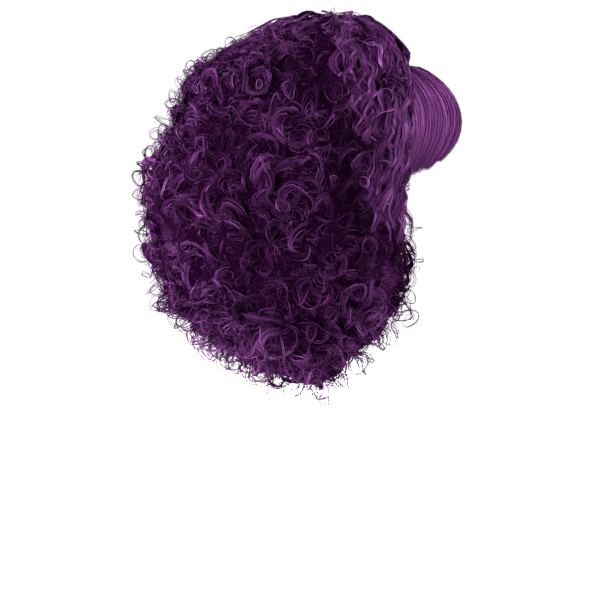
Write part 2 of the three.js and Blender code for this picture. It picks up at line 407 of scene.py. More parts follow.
def vertex_array(mesh, kind):
    values = np.empty(len(mesh.vertices) * 3, dtype=np.float32)
    mesh.vertices.foreach_get(kind, values)
    return values.reshape(-1, 3).astype(float)


def shrunken(name, nodes, voxel, inset, material):
    """One closed form a little inside some CAD nodes, which hides what lies behind their fibres."""
    together = joined(nodes)
    mesh = bpy.data.meshes.new(name)
    together.to_mesh(mesh)
    together.free()
    piece = add_object(name, mesh)
    remesh(piece, voxel)
    places, normals = vertex_array(piece.data, "co"), vertex_array(piece.data, "normal")
    moved = drawn_back(places - normals * inset(places)[:, None])
    piece.data.vertices.foreach_set("co", moved.astype(np.float32).ravel())
    remesh(piece, voxel)
    piece.data.name = name
    piece.data.materials.clear()
    piece.data.materials.append(material)
    shade_smooth(piece.data)
    return piece


# Where the hair shows
CLEAR_BY = 14 * MM  # a surface shows if nothing stands closer in front of it
CLEAR_FROM = 0.3 * MM
SAMPLES_PER_M2 = 40000
SMOOTHING_CELL = 11 * MM


def joined_tree(names):
    """A search tree of some CAD solids together."""
    together = joined(names)
    tree = BVHTree.FromBMesh(together)
    together.free()
    return tree


def triangles_of(node):
    mesh = NODES[node].data
    mesh.calc_loop_triangles()
    ids = np.empty(len(mesh.loop_triangles) * 3, dtype=np.int32)
    mesh.loop_triangles.foreach_get("vertices", ids)
    return vertex_array(mesh, "co")[ids.reshape(-1, 3)]


def exposed_samples(node, tree):
    """Random places on the part of a node's surface that shows, with its normals."""
    corners = triangles_of(node)
    facing = np.cross(corners[:, 1] - corners[:, 0], corners[:, 2] - corners[:, 0])
    areas = np.linalg.norm(facing, axis=1) / 2
    count = int(areas.sum() * SAMPLES_PER_M2)
    chosen = RNG.choice(len(areas), count, p=areas / areas.sum())
    first, second = RNG.random(count), RNG.random(count)
    over = first + second > 1
    first[over], second[over] = 1 - first[over], 1 - second[over]
    a, b, c = corners[chosen].transpose(1, 0, 2)
    places = a + (b - a) * first[:, None] + (c - a) * second[:, None]
    normals = unit(facing[chosen])
    starts = places + normals * CLEAR_FROM
    clear = [tree.ray_cast(Vector(p), Vector(n), CLEAR_BY)[0] is None for p, n in zip(starts, normals)]
    return places[clear], normals[clear]


def smoothed_normals(places, normals):
    """Each normal averaged with those in the cells round its own, so that curls ignore facets."""
    cells = np.floor(places / SMOOTHING_CELL).astype(int)
    cells -= cells.min(axis=0) - 1
    sums = np.zeros((*(cells.max(axis=0) + 2), 3))
    np.add.at(sums, tuple(cells.T), normals)
    around = np.zeros_like(sums)
    for shift in np.ndindex(3, 3, 3):
        around += np.roll(sums, np.array(shift) - 1, axis=(0, 1, 2))
    return unit(around[tuple(cells.T)] + 0.5 * normals)


def spaced(places, spacing):
    """Which of some random places to keep, so that no two are closer than the spacing."""
    kept, taken = [], {}
    for i, (x, y, z) in enumerate(np.floor(places / spacing).astype(int).tolist()):
        around = ((x + a - 1, y + b - 1, z + c - 1) for a, b, c in np.ndindex(3, 3, 3))
        near = [j for cell in around for j in taken.get(cell, ())]
        if not near or ((places[near] - places[i]) ** 2).sum(axis=1).min() > spacing**2:
            kept.append(i)
            taken.setdefault((x, y, z), []).append(i)
    return np.array(kept)


# Masses and regions of the hair
LUMP_SIZE = 38 * MM
LUMP_ANGLE = 2.4  # of a wave in that size
LUMP_COUNT = 9  # of waves that are added up
LUMP_SOFTNESS = 2.2
LUMP_WAVES = RNG.normal(size=(LUMP_COUNT, 3)) / LUMP_SIZE * LUMP_ANGLE
LUMP_STARTS = RNG.uniform(0, FULL_TURN, LUMP_COUNT)
WARP, WARP_SIZE = 1.6 * MM, 26 * MM  # how far places are pushed about, and in waves of which length
WARP_COUNT = 6  # of waves in each direction
WARP_WAVES = RNG.normal(size=(3, WARP_COUNT, 3)) * FULL_TURN / WARP_SIZE / math.sqrt(3)
WARP_STARTS = RNG.uniform(0, FULL_TURN, (3, WARP_COUNT))
FACE_LINE = 36 * MM  # in front of the wig's origin: the hair beside the fringe is drawn back to about here
FACE_LINE_VARIES = 7 * MM
DRAWN_BACK = 0.7  # of the way to that line
# Painted light: how much the tone is lightened in each region.
PAINTED_LIGHT_SHARES = {"waves": 0.5, "beside_face": 0.45, "hem": 0.14, "back": 0.14}


def lumps(places):
    """Between -1 and 1 at each place: where the hair stands out in masses, and where it is parted."""
    return np.tanh(np.sin(places @ LUMP_WAVES.T + LUMP_STARTS).sum(axis=1) / LUMP_SOFTNESS)


def warped(runs):
    """Runs of points pushed about by a smooth field, so that no curl is quite round."""
    flat = runs.reshape(-1, 3)
    fields = zip(WARP_WAVES, WARP_STARTS)
    push = np.stack([np.sin(flat @ waves.T + starts).sum(axis=1) for waves, starts in fields], axis=1)
    return runs + WARP * push.reshape(runs.shape) / math.sqrt(3)


def waviness(places, further_back=0):
    """1 beside the face, where the hair hangs in frizzy waves, and 0 where it is in ringlets."""
    return grows(places[:, 1] - further_back, -2, -36) * grows(places[:, 2], -30, 10)


def over_forehead(places):
    return grows(places[:, 2], 55, 90) * grows(places[:, 1], 50, 10)


def flow(places):
    """1 over the forehead and beside the face, where the hair runs in long waves, and 0 elsewhere."""
    return np.maximum(over_forehead(places), waviness(places))


def drawn_back(runs):
    """Runs of points with those beside the fringe moved back, so that it shows."""
    x, y, z = np.moveaxis(runs, -1, 0)
    share = DRAWN_BACK * grows(z, -50, -20) * grows(np.abs(x), 62, 82)
    line = FACE_LINE + FACE_LINE_VARIES * lumps(runs.reshape(-1, 3)).reshape(y.shape)
    return np.stack([x, y + share * np.maximum(-y - line, 0), z], axis=-1)


def under_hem(normals):
    """1 where the hair looks down, under its hem, and 0 where it looks out or up."""
    return smooth((-normals[:, 2] - 0.25) / 0.4)


def faces_inwards(places, normals):
    """Which places look towards the wig's own middle."""
    outwards = unit(places * np.array([1, 1, 0]))
    return (normals * outwards).sum(axis=1) < -0.25


def painted_light_tone(places):
    """Painted light: how much lighter the hair's tone is made in its waves, beside the face, at its hem and
    at its back.
    """
    beside_face = grows(places[:, 1], 35, -15) * grows(places[:, 2], -70, -20)
    hem = grows(places[:, 2], -90, -170)
    back = grows(places[:, 1], 110, 170)
    regions = {"waves": flow(places), "beside_face": beside_face, "hem": hem, "back": back}
    return np.max([PAINTED_LIGHT_SHARES[name] * share for name, share in regions.items()], axis=0)


# What a lock is made of: broad ribbons that are bunches of strands, and single strands. Half-width, how far
# across the lock they lie, how loose they are, how far over it they stand, how far they twist out of its
# face, how much of the map of tones one spans, how far its tone is shifted (up on strands, a painted
# highlight, down on ribbons, a painted shade), how far its middle is raised as a share of its half-width,
# how much slimmer it is under the hem, and the shares of its width that are left at its root and its tip
RIBBON = {"width": 2.7, "band": 2.2, "loose": 0.6, "over": -0.8, "twist": 0.3, "spread": 0.014,
          "painted_light_shift": -0.1, "ridge": 0.45, "slim": 0.45, "root": 0.15, "tip": 0.2}
STRAND = {"width": 0.3, "band": 3.6, "loose": 1, "over": 1.1, "twist": 0.8, "spread": 0.003,
          "painted_light_shift": 0.12, "ridge": 0, "slim": 0, "root": 0.5, "tip": 0.2}
# Rim strands' tone is shifted up a little, a painted rim light.
RIM_STRAND = {**STRAND, "width": 0.42, "band": 1, "loose": 0.4, "over": 0, "painted_light_shift": 0.05,
              "ridge": 0.9, "root": 1, "tip": 0.5}

# Kinds of curl: distance between locks, points along a fibre, radius and length, how far its fall is turned
# at random, turns and the angle they start at, how far its loops stand out and their roots lie deeper, how
# far its axis leans out of the normal, the share of its radius it starts with, its tone, the share of the
# locks that gives way where the hair runs in long waves and how much flatter the others lie there, how much
# larger its loops are under the hem and how far they are tucked in there, and the parts of a lock
# The deeper kinds have darker tones, a painted shade, and the loops that stand out have lighter ones, a
# painted light.
CURLS = {
    "roll": {"spacing": 10, "steps": 14, "radius": (6, 13), "length": (8, 26), "swirl": 0.9,
             "turns": (0.45, 1.0), "phase": (0, 6.3), "out": (-10, -3), "sink": (5, 10), "lean": (0.3, 1),
             "first": 0.6, "tone": (0.12, 0.6), "thinned": 0, "flat": -6, "hem": -0.2, "tuck": 3,
             "parts": ((1, RIBBON), (3, STRAND))},
    "fuzz": {"spacing": 13.5, "steps": 14, "radius": (4, 10), "length": (6, 24), "swirl": 1.5,
             "turns": (0.6, 1.4), "phase": (0, 6.3), "out": (-7, -1), "sink": (5, 10), "lean": (0.1, 1),
             "first": 0.4, "tone": (0.2, 0.62), "thinned": 0.25, "flat": -4, "hem": 0.2, "tuck": 4,
             "parts": ((4, STRAND),)},
    "lock": {"spacing": 15.5, "steps": 16, "radius": (8, 17), "length": (6, 26), "swirl": 1.1,
             "turns": (0.5, 1.15), "phase": (0, 6.3), "out": (-7, 0), "sink": (6, 12), "lean": (0.25, 1),
             "first": 0.5, "tone": (0.18, 0.64), "thinned": 0.85, "flat": 4, "hem": 0, "tuck": 4,
             "parts": ((2, RIBBON), (5, STRAND))},
    "stray": {"spacing": 21, "steps": 19, "radius": (5, 10), "length": (1, 5), "swirl": 4,
              "turns": (1.15, 1.5), "phase": (-2.2, -1), "out": (5, 11), "sink": (2, 5), "lean": (0.9, 1),
              "first": 0.7, "tone": (0.3, 0.72), "thinned": 1.1, "flat": 6, "hem": 0.6, "tuck": 0,
              "parts": ((2, RIM_STRAND),)},
}
CURLS["hem_loop"] = {**CURLS["stray"], "spacing": 17, "radius": (8, 14), "length": (1, 6),
                     "turns": (1.0, 1.4), "out": (5, 13), "thinned": 1, "hem": 0}
OUTER_KINDS = ("lock", "stray", "hem_loop")
INNER_DEPTH = 6 * MM  # how far the curls that face inwards keep back
LUMP_HEIGHT = 3
WAVY = {"swirl": -0.75, "radius": -0.62, "length": 2}  # changes beside the face, as shares
MOST_TAPER = 0.45
LOW_TONES = 1.6  # over 1, so that dark locks are more common than light ones
# Painted shade and light: how much darker a lock's tone is where the hair is parted, and lighter where it
# stands out in masses.
LUMP_PAINTED_SHADE = 0.15
OPENS_BY = 0.25  # of its way, where a curl has its full radius
ROOT_ABOVE = 0.4  # of a curl's length
RIBBON_TURN, RIBBON_TURNS = 0.6, 1.3  # how far it turns about itself either way along a lock, and how often
TIPS_GATHER, GATHER_FROM = 0.6, 0.4  # how far a lock's fibres draw together, and from where on their way
TOP_FLATTER = 0.8  # share of the height of loops that is gone near the top
# How much loose fibres differ from their lock: millimetres for place and out, radians for phase, or shares
LOOSE = {"place": 0.9, "radius": 0.1, "phase": 0.2, "out": 0.8, "turns": 0.06, "across": 0.15}
UNEVEN = (0.7, 1.3)  # the widths of fibres, as shares of the one in their rule
RIBBON_RADIUS = 11 * MM  # of the curls whose ribbons have the full width
RIBBON_SHARES = (0.55, 1.15)  # of it, for narrower and broader curls
ROOT_PART = 0.3  # of its way, where a fibre grows to its full width
CURL_TIP_FROM = 0.55  # of its way, where a curled fibre starts to thin again
CURL_TONES_VARY = 0.12
CURL_TONE_LIMITS, TONE_LIMITS = (0.05, 1), (0.05, 0.95)


def curl_runs(curl, steps):
    """Winding runs of points for many fibres, with the unit vectors across them."""
    t = np.linspace(0, 1, steps)[None, :]
    column = {key: value[:, None] for key, value in curl.items() if value.ndim == 1}
    normal, fall, lean = curl["normal"], curl["fall"], column["lean"]
    axis = unit(np.sqrt(1 - lean**2) * normal + lean * fall)
    first = unit(np.cross(normal, fall))
    second = np.cross(axis, first)
    angle = column["phase"] + FULL_TURN * column["turns"] * t
    opened = column["first"] + (1 - column["first"]) * smooth(t / OPENS_BY)
    radius = column["radius"] * opened * (1 - column["taper"] * t)
    depth = column["out"] - column["radius"] * lean - column["sink"] * (1 - t) ** 2
    advance = column["length"] * (t - ROOT_ABOVE)
    centre = curl["place"][:, None] + normal[:, None] * depth[..., None]
    centre = centre + fall[:, None] * advance[..., None]
    spoke = np.cos(angle)[..., None] * first[:, None] + np.sin(angle)[..., None] * second[:, None]
    turned = RIBBON_TURN * np.sin(FULL_TURN * RIBBON_TURNS * t + 3 * column["phase"])
    roll = (column["roll"] + turned)[..., None]
    sides = unit(np.cos(roll) * axis[:, None] + np.sin(roll) * spoke)
    aside = column["aside"] * (1 - TIPS_GATHER * smooth((t - GATHER_FROM) / (1 - GATHER_FROM)))
    return centre + radius[..., None] * spoke + aside[..., None] * sides, sides


def tangent_fall(normals, swirl):
    """The way down along a surface, turned at random."""
    random = RNG.normal(size=normals.shape)
    way = DOWN - normals * (normals @ DOWN)[:, None] + swirl[:, None] * random
    return unit(way - normals * (way * normals).sum(axis=1)[:, None])


def thinning(t, root, tip, tip_from):
    """The share of a fibre's width along it."""
    grown = root + (1 - root) * smooth(t / ROOT_PART)
    return grown * (1 - (1 - tip) * smooth((t - tip_from) / (1 - tip_from)))


def raised(runs, sides, widths, normals, share):
    """How far the middle of a broad fibre stands up, on the side that shows where it lies highest."""
    up = unit(np.cross(unit(np.gradient(runs, axis=1)), sides))
    height = (runs * normals[:, None]).sum(axis=-1)
    weight = height - height.min(axis=1, keepdims=True)
    shows = np.sign((weight * (up * normals[:, None]).sum(axis=-1)).sum(axis=1))
    return up * (shows[:, None] * widths * share)[..., None]


def lock_places(places, normals, kind):
    """The places of one kind of curl among random ones, with their normals."""
    rule = CURLS[kind]
    if kind in OUTER_KINDS:
        outer = ~faces_inwards(places, normals)
        places, normals = places[outer], normals[outer]
    if kind == "hem_loop":
        hangs = RNG.random(len(places)) < under_hem(normals)
        places, normals = places[hangs], normals[hangs]
    if not len(places):
        return places, normals
    chosen = spaced(places, rule["spacing"] * MM)
    chosen = chosen[RNG.random(len(chosen)) > rule["thinned"] * flow(places[chosen])]
    return places[chosen], normals[chosen]


def heights_out(place, normal, rule):
    """How far the loops of some locks stand out, which is less near the top than elsewhere."""
    out = between(*rule["out"], len(place)) + LUMP_HEIGHT * lumps(place)
    out = out - rule["flat"] * flow(place) - rule["tuck"] * under_hem(normal)
    out = out * MM - INNER_DEPTH * faces_inwards(place, normal)
    return np.where(out > 0, out * (1 - TOP_FLATTER * grows(place[:, 2], 80, 120)), out)


def curl_layer(fibres, places, normals, kind):
    """All the locks of one kind over some places."""
    rule = CURLS[kind]
    place, normal = lock_places(places, normals, kind)
    locks = len(place)
    if not locks:
        return
    wave = waviness(place)
    larger = 1 + rule["hem"] * under_hem(normal)
    out = heights_out(place, normal, rule)
    lock = {
        "place": place,
        "normal": normal,
        "fall": tangent_fall(normal, rule["swirl"] * (1 + WAVY["swirl"] * wave)),
        "lean": np.maximum(between(*rule["lean"], locks), wave),
        "radius": between(*rule["radius"], locks) * (1 + WAVY["radius"] * wave) * larger * MM,
        "length": between(*rule["length"], locks) * (1 + WAVY["length"] * wave) * MM,
        "turns": between(*rule["turns"], locks) * RNG.choice([-1, 1], locks),
        "out": out,
        "phase": between(*rule["phase"], locks),
        "taper": between(0, MOST_TAPER, locks),
        "first": np.full(locks, rule["first"]),
        "sink": between(*rule["sink"], locks) * MM,
    }
    low_tone, high_tone = rule["tone"]
    tone = low_tone + (high_tone - low_tone) * RNG.random(locks) ** LOW_TONES
    # Painted shade and light: the tone is darker where the hair is parted and lighter where it stands out
    # in masses, and lighter still in the waves, beside the face, at the hem and at the back.
    tone = tone + LUMP_PAINTED_SHADE * lumps(place) + painted_light_tone(place)
    for number, part in rule["parts"]:
        add_curl_part(fibres, lock, tone, rule["steps"], number, part)


def loosened(lock, number, part):
    """A number of fibres for each lock, which lie side by side and differ a little."""
    each = {key: np.repeat(value, number, axis=0) for key, value in lock.items()}
    locks, count = len(lock["radius"]), len(each["radius"])
    loose = {key: value * part["loose"] for key, value in LOOSE.items()}
    each["place"] = each["place"] + RNG.normal(0, loose["place"] * MM, (count, 3))
    each["radius"] = each["radius"] * RNG.normal(1, loose["radius"], count)
    each["phase"] = each["phase"] + RNG.normal(0, loose["phase"], count)
    each["out"] = each["out"] + RNG.normal(part["over"], loose["out"], count) * MM
    each["turns"] = each["turns"] * RNG.normal(1, loose["turns"], count)
    each["roll"] = np.arccos(np.clip(each["lean"], 0, 1)) + RNG.normal(0, part["twist"], count)
    across = np.tile(np.linspace(-1, 1, number), locks) + RNG.normal(0, LOOSE["across"], count)
    each["aside"] = across * part["band"] * MM
    return each


def add_curl_part(fibres, lock, tone, steps, number, part):
    """Ribbons or strands that follow their locks."""
    each = loosened(lock, number, part)
    count = len(each["radius"])
    runs, sides = curl_runs(each, steps)
    slim = 1 - part["slim"] * under_hem(each["normal"])
    if part["slim"]:
        slim = slim * np.clip(each["radius"] / RIBBON_RADIUS, *RIBBON_SHARES)
    along = thinning(np.linspace(0, 1, steps)[None, :], part["root"], part["tip"], CURL_TIP_FROM)
    widths = part["width"] * MM * along * (slim * between(*UNEVEN, count))[:, None]
    # Painted highlight on the strands and painted shade on the ribbons, by shifting their tones.
    painted_light_shift = RNG.normal(part["painted_light_shift"], CURL_TONES_VARY, count)
    tones = np.clip(np.repeat(tone, number) + painted_light_shift, *CURL_TONE_LIMITS)
    runs = drawn_back(warped(runs))
    ridge = raised(runs, sides, widths, each["normal"], part["ridge"]) if part["ridge"] else None
    fibres.add(runs, sides, widths, tones, part["spread"], ridge)


def add_curls(material):
    tree = joined_tree(NODES)
    samples = [exposed_samples(tier, tree) for tier in TIERS]
    sizes = [len(places) for places, _ in samples]
    places, normals = (np.concatenate(values) for values in zip(*samples))
    normals = smoothed_normals(places, normals)
    ends = np.cumsum(sizes)
    for tier, start, end in zip(TIERS, ends - sizes, ends):
        fibres = Fibres()
        for kind in CURLS:
            curl_layer(fibres, places[start:end], normals[start:end], kind)
        piece = fibres.build(f"{tier}_curls", material)
        finish_piece(piece, "curls", tier)
    add_waves(material, places, normals)


# Long waves: distance between locks, fibres in each and how many of them are ribbons, points along a fibre
# and the step between them, how often and how far a lock swings, how far it stands out, how broad it is,
# the half-widths of its strands and its ribbons, how far the ribbons' middle is raised as a share of that,
# its tone, and how far behind the wavy hair some waves still start, over the ringlets
WAVES = {"spacing": 7.6, "fibres": 9, "ribbons": 2, "steps": 18, "stride": (2.7, 4.4), "waves": (1.2, 2.6),
         "swing": (2, 5), "lift": (-2, 3), "broad": 3.4, "width": 0.3, "broad_width": 1.9, "ridge": 0.3,
         "tone": (0.62, 0.94), "behind": 27}
OUTWARDS, DOWNWARDS, ASTRAY = 0.6, 0.8, 0.3  # shares of the way that a wave sets off in
SIDEWAYS = np.array([1, 0.35, 0])  # outwards is more to the side than to the front
PULL_DOWN, CLEAR_OF_SOLIDS = 0.3, 2 * MM  # at each step of a wave
CROWN_HEIGHT, CROWN_BACK = 85 * MM, -50 * MM  # no wave starts above and in front of these
# How much a wave's fibres differ from it: radians for phase, millimetres for lift, and shares
WAVE_LOOSE = {"phase": 0.25, "swing": 0.12, "lift": 0.5, "tone": 0.18}
WAVE_ENDS = (0.25, 0.25, 0.6)  # shares of the width at root and tip, and where the thin tip starts
RIBBON_ROLL, STRAND_ROLL = 0.2, 0.6
# Painted shade: how much darker the waves' tone is made high up and away from the face.
SHADE_PAINTED_HIGH_UP, SHADE_PAINTED_BEHIND = 0.2, 0.15


def wave_walk(tree, place, way, stride):
    """A run of points down over the solids from a place, and the normals under it."""
    points, normals = [], []
    for _ in range(WAVES["steps"]):
        near, normal = (np.array(v) for v in tree.find_nearest(Vector(place))[:2])
        points.append(near)
        normals.append(normal)
        way = unit(way + PULL_DOWN * DOWN)
        way = unit(way - normal * (way @ normal))
        place = near + way * stride + normal * CLEAR_OF_SOLIDS
    return points, normals


def wave_starts(places, normals):
    """Places for the roots of long waves, clear of the edge of the smooth crown."""
    share = np.maximum(over_forehead(places), waviness(places, WAVES["behind"] * MM))
    outer = ~faces_inwards(places, normals) & (share > RNG.uniform(0.2, 0.8, len(places)))
    below_crown = (places[:, 2] < CROWN_HEIGHT) | (places[:, 1] > CROWN_BACK)
    starts = places[outer & below_crown]
    return starts[spaced(starts, WAVES["spacing"] * MM)]


def wave_lines(starts):
    """The line that each wavy lock follows over the solids, with the normals along it."""
    tree = joined_tree(TIERS)
    ways = OUTWARDS * unit(starts * SIDEWAYS) + DOWNWARDS * DOWN
    ways = ways + ASTRAY * RNG.normal(size=starts.shape)
    strides = between(*WAVES["stride"], len(starts)) * MM
    walks = [wave_walk(tree, *each) for each in zip(starts, ways, strides)]
    lines, normals = (np.array(values) for values in zip(*walks))
    return softened(lines, 1), unit(softened(normals, 1, 8))


def waved(runs, normals, across, lock, ribbon, t):
    """Fibres that swing about their lock's line, and lie close to the hair near the top."""
    count, total = lock[-1] + 1, len(lock)
    phase = (between(0, FULL_TURN, count)[lock] + RNG.normal(0, WAVE_LOOSE["phase"], total))[:, None]
    swing = between(*WAVES["swing"], count)[lock] * RNG.normal(1, WAVE_LOOSE["swing"], total)
    swing = swing[:, None] * MM
    angle = phase + FULL_TURN * between(*WAVES["waves"], count)[lock][:, None] * t
    grow = smooth(t / ROOT_PART)
    broad = RNG.normal(0, WAVES["broad"] * MM, total)[:, None] * (0.2 + 0.8 * grow) * (1 - 0.5 * t)
    over = np.where(ribbon, 0, 1) + RNG.normal(0, WAVE_LOOSE["lift"], total)
    lift = (between(*WAVES["lift"], count)[lock] + over)[:, None] * MM
    aside = swing * grow * np.sin(angle) + broad
    up = lift * smooth(t / 0.2 + 0.1) + 0.5 * swing * grow * np.cos(angle)
    up = np.where(up > 0, up * (1 - grows(runs[..., 2], 85, 120)), up)
    return runs + across * aside[..., None] + normals * up[..., None]


def wave_tones(starts, lock):
    """Tones of the fibres of wavy locks, with painted shade high up and away from the face."""
    tones = between(*WAVES["tone"], len(starts))[lock] + RNG.normal(0, WAVE_LOOSE["tone"], len(lock))
    high_up = grows(starts[lock, 2], 70, 100)
    behind = grows(starts[lock, 1], -18, 12)
    # Painted shade, high up and away from the face.
    darker = SHADE_PAINTED_HIGH_UP * high_up + SHADE_PAINTED_BEHIND * behind * (1 - high_up)
    return np.clip(tones - darker, *TONE_LIMITS)


def add_waves(material, places, normals):
    starts = wave_starts(places, normals)
    lines, normals = wave_lines(starts)
    lock = np.repeat(np.arange(len(starts)), WAVES["fibres"])
    ribbon = np.tile(np.arange(WAVES["fibres"]) < WAVES["ribbons"], len(starts))
    t = np.linspace(0, 1, WAVES["steps"])[None, :]
    runs, normals = lines[lock], normals[lock]
    across = unit(np.cross(unit(np.gradient(runs, axis=1)), normals))
    runs = drawn_back(waved(runs, normals, across, lock, ribbon, t))
    roll = (RNG.normal(0, 1, len(lock)) * np.where(ribbon, RIBBON_ROLL, STRAND_ROLL))[:, None, None]
    sides = np.cos(roll) * across + np.sin(roll) * normals
    width = np.where(ribbon, WAVES["broad_width"], WAVES["width"]) * MM * between(*UNEVEN, len(lock))
    widths = width[:, None] * thinning(t, *WAVE_ENDS)
    tones = wave_tones(starts, lock)
    ridge = raised(runs[ribbon], sides[ribbon], widths[ribbon], normals[ribbon, 0], WAVES["ridge"])
    fibres = Fibres()
    fibres.add(runs[ribbon], sides[ribbon], widths[ribbon], tones[ribbon], RIBBON["spread"], ridge)
    fibres.add(runs[~ribbon], sides[~ribbon], widths[~ribbon], tones[~ribbon], STRAND["spread"])
    finish_piece(fibres.build("long_waves", material), "curls")


# Straight hair
SPAN = math.radians(60)  # each side of the middle of the face, for the fringe and the smooth crown
CAP_RATIO = 76 / 97  # half width to half length
SHEET_COLUMNS, SHEET_ROWS = 61, 30
RAY_LENGTH = 0.2
RAY_STEP = 1.5  # degrees
LIP_ROW = 18  # of the crown's rows, where the strands over the lip start
UNDER_LIP = slice(2, 4)  # of the fringe's rows, where they end
# A face's node, where the line that its rays start from or end at lies in front of the origin and above it,
# how far that line drops at its ends, the rays' angles from straight up in degrees, and passes of softening
FRINGE_FACE = {"node": "fringe", "reach": 68, "height": 38, "side_drop": 13, "angles": (0, 165),
               "passes": 4}
CROWN_FACE = {"node": "crown_top", "reach": 25, "height": 85, "side_drop": 0, "angles": (-20, 69),
              "passes": 1}
# How many strands, points along each, locks, how far strands go beyond the face's sides as a share of it,
# how far a lock gathers and a strand sways, where strands start and end along the face, how far they are
# lifted, how unevenly, and how much more at the root, how far they roll, their half-width, tone and share
# of the map of tones, and how much narrower the hair is at its root and in its middle
FRINGE_STRANDS = {"count": 2800, "steps": 16, "locks": 130, "beyond": 0.14, "gather": 0.12, "sway": 0.008,
                  "first": (0, 0.04), "last": (0.93, 1.0), "lift": 0.4, "loose": 0.5, "root_lift": 3.5,
                  "roll": 0.5, "width": 0.4, "tone": 0.6, "spread": 0.01, "fan": 0.1, "bow": 0.1}
FRINGE_INSIDE = {**FRINGE_STRANDS, "count": 500, "steps": 14, "first": (0.0, 0.1), "lift": 0.3,
                 "root_lift": 0, "width": 0.8, "tone": 0.35}
CROWN_STRANDS = {"count": 1200, "steps": 16, "locks": 26, "beyond": 0, "gather": 0.2, "sway": 0.05,
                 "first": (0, 0.5), "last": (0.97, 1.0), "lift": 0.3, "loose": 0.4, "root_lift": 0,
                 "roll": 0.5, "width": 0.55, "tone": 0.38, "spread": 0.008, "fan": 0, "bow": 0}
CROWN_LIP = {**CROWN_STRANDS, "count": 700, "steps": 14, "sway": 0.03, "first": (0, 0.4),
             "last": (0.8, 1.0)}
SWAY_BENDS = (0.6, 1.6)  # half waves along a strand
STRAIGHT_ENDS = (1, 0.4, 0.7)  # shares of the width at root and tip, and where the thin tip starts
LOCK_TONES_VARY, STRAND_TONES_VARY = 0.06, 0.1
FRINGE_VOXEL, FRINGE_INSET = 3 * MM, 1.2 * MM  # of the form under the strands
CROWN_VOXEL, CROWN_INSET = 2.5 * MM, 0.8 * MM


def strand_columns(rule, t):
    """Where strands run across a face, in locks that draw together to their tips, and the lock of each."""
    count, beyond = rule["count"], rule["beyond"]
    column = between(-beyond, 1 + beyond, count)
    centres = np.sort(RNG.random(rule["locks"]))
    nearest = np.abs(column[:, None] - centres[None, :]).argmin(axis=1)
    towards = centres[nearest] - column
    sway = RNG.normal(0, rule["sway"], (count, 1))
    sway = sway * np.sin(math.pi * t * between(*SWAY_BENDS, count)[:, None])
    columns = column[:, None] + towards[:, None] * rule["gather"] * t**2 + sway
    narrowing = rule["fan"] * (1 - t) ** 2 + rule["bow"] * np.sin(math.pi * t)
    columns = 0.5 + (columns - 0.5) * (1 - narrowing)
    return np.clip(columns, -beyond, 1 + beyond), nearest


class Sheet:
    """A grid of points laid over a node by rays, columns side by side and rows from root to tip."""

    def __init__(self, columns, passes):
        self.points = softened(softened(np.array(columns), 0), 1, passes)
        along = np.gradient(self.points, axis=1)
        across = np.gradient(self.points, axis=0)
        self.normals = unit(np.cross(along, across))

    def at(self, grid, column, row):
        """Values of a grid at fractions of the way across and along it."""
        wide, long = grid.shape[0] - 1, grid.shape[1] - 1
        x, y = column * wide, np.clip(row, 0, 1) * long
        i, j = np.clip(x.astype(int), 0, wide - 1), np.minimum(y.astype(int), long - 1)
        fx, fy = (x - i)[..., None], (y - j)[..., None]
        near = grid[i, j] * (1 - fy) + grid[i, j + 1] * fy
        far = grid[i + 1, j] * (1 - fy) + grid[i + 1, j + 1] * fy
        return near * (1 - fx) + far * fx

    def laid(self, columns, rows):
        """Points on the sheet, with its normals there."""
        return self.at(self.points, columns, rows), unit(self.at(self.normals, columns, rows))

    def strands(self, fibres, rule):
        """Strands from root to tip."""
        count = rule["count"]
        t = np.linspace(0, 1, rule["steps"])[None, :]
        columns, nearest = strand_columns(rule, t)
        first = between(*rule["first"], count)[:, None]
        last = between(*rule["last"], count)[:, None]
        runs, normals = self.laid(columns, first + (last - first) * t)
        lift = RNG.normal(rule["lift"], rule["loose"], count)[:, None] * MM
        root_lift = rule["root_lift"] * MM * (1 - smooth(t / ROOT_PART))
        runs = runs + normals * (lift * smooth(4 * t + 0.2) + root_lift)[..., None]
        flat = unit(np.cross(unit(np.gradient(runs, axis=1)), normals))
        roll = RNG.normal(0, rule["roll"], (count, 1, 1))
        sides = np.cos(roll) * flat + np.sin(roll) * normals
        widths = rule["width"] * MM * between(*UNEVEN, count)[:, None] * thinning(t, *STRAIGHT_ENDS)
        tones = rule["tone"] + RNG.normal(0, LOCK_TONES_VARY, rule["locks"])[nearest]
        tones = np.clip(tones + RNG.normal(0, STRAND_TONES_VARY, count), *TONE_LIMITS)
        fibres.add(runs, sides, widths, tones, rule["spread"])


def even(points, count):
    """A run of points spaced evenly."""
    points = np.array(points)
    way = np.concatenate([[0], np.cumsum(np.linalg.norm(np.diff(points, axis=0), axis=1))])
    places = np.linspace(0, way[-1], count)
    return np.stack([np.interp(places, way, points[:, k]) for k in range(3)], axis=1)


def sheet_over(node, reach, height, side_drop, angles, passes, inside=False):
    """A node's outer or inner face, by rays to or from a line that lies inside the cap."""
    tree = joined_tree([node])
    columns = []
    for turn in np.linspace(-SPAN, SPAN, SHEET_COLUMNS):
        out = np.array([math.sin(turn), -math.cos(turn), 0])
        stand = reach * MM / math.hypot(math.sin(turn) / CAP_RATIO, math.cos(turn))
        centre = out * stand + np.array([0, 0, (height - side_drop * (turn / SPAN) ** 2) * MM])
        hits = []
        for angle in np.radians(np.arange(*angles, RAY_STEP)):
            way = out * math.sin(angle) + np.array([0, 0, math.cos(angle)])
            start, ray = (centre, way) if inside else (centre + way * RAY_LENGTH, -way)
            hit = tree.ray_cast(Vector(start), Vector(ray), RAY_LENGTH)[0]
            if hit is not None:
                hits.append(hit)
        columns.append(even(hits, SHEET_ROWS))
    return Sheet(columns, passes)


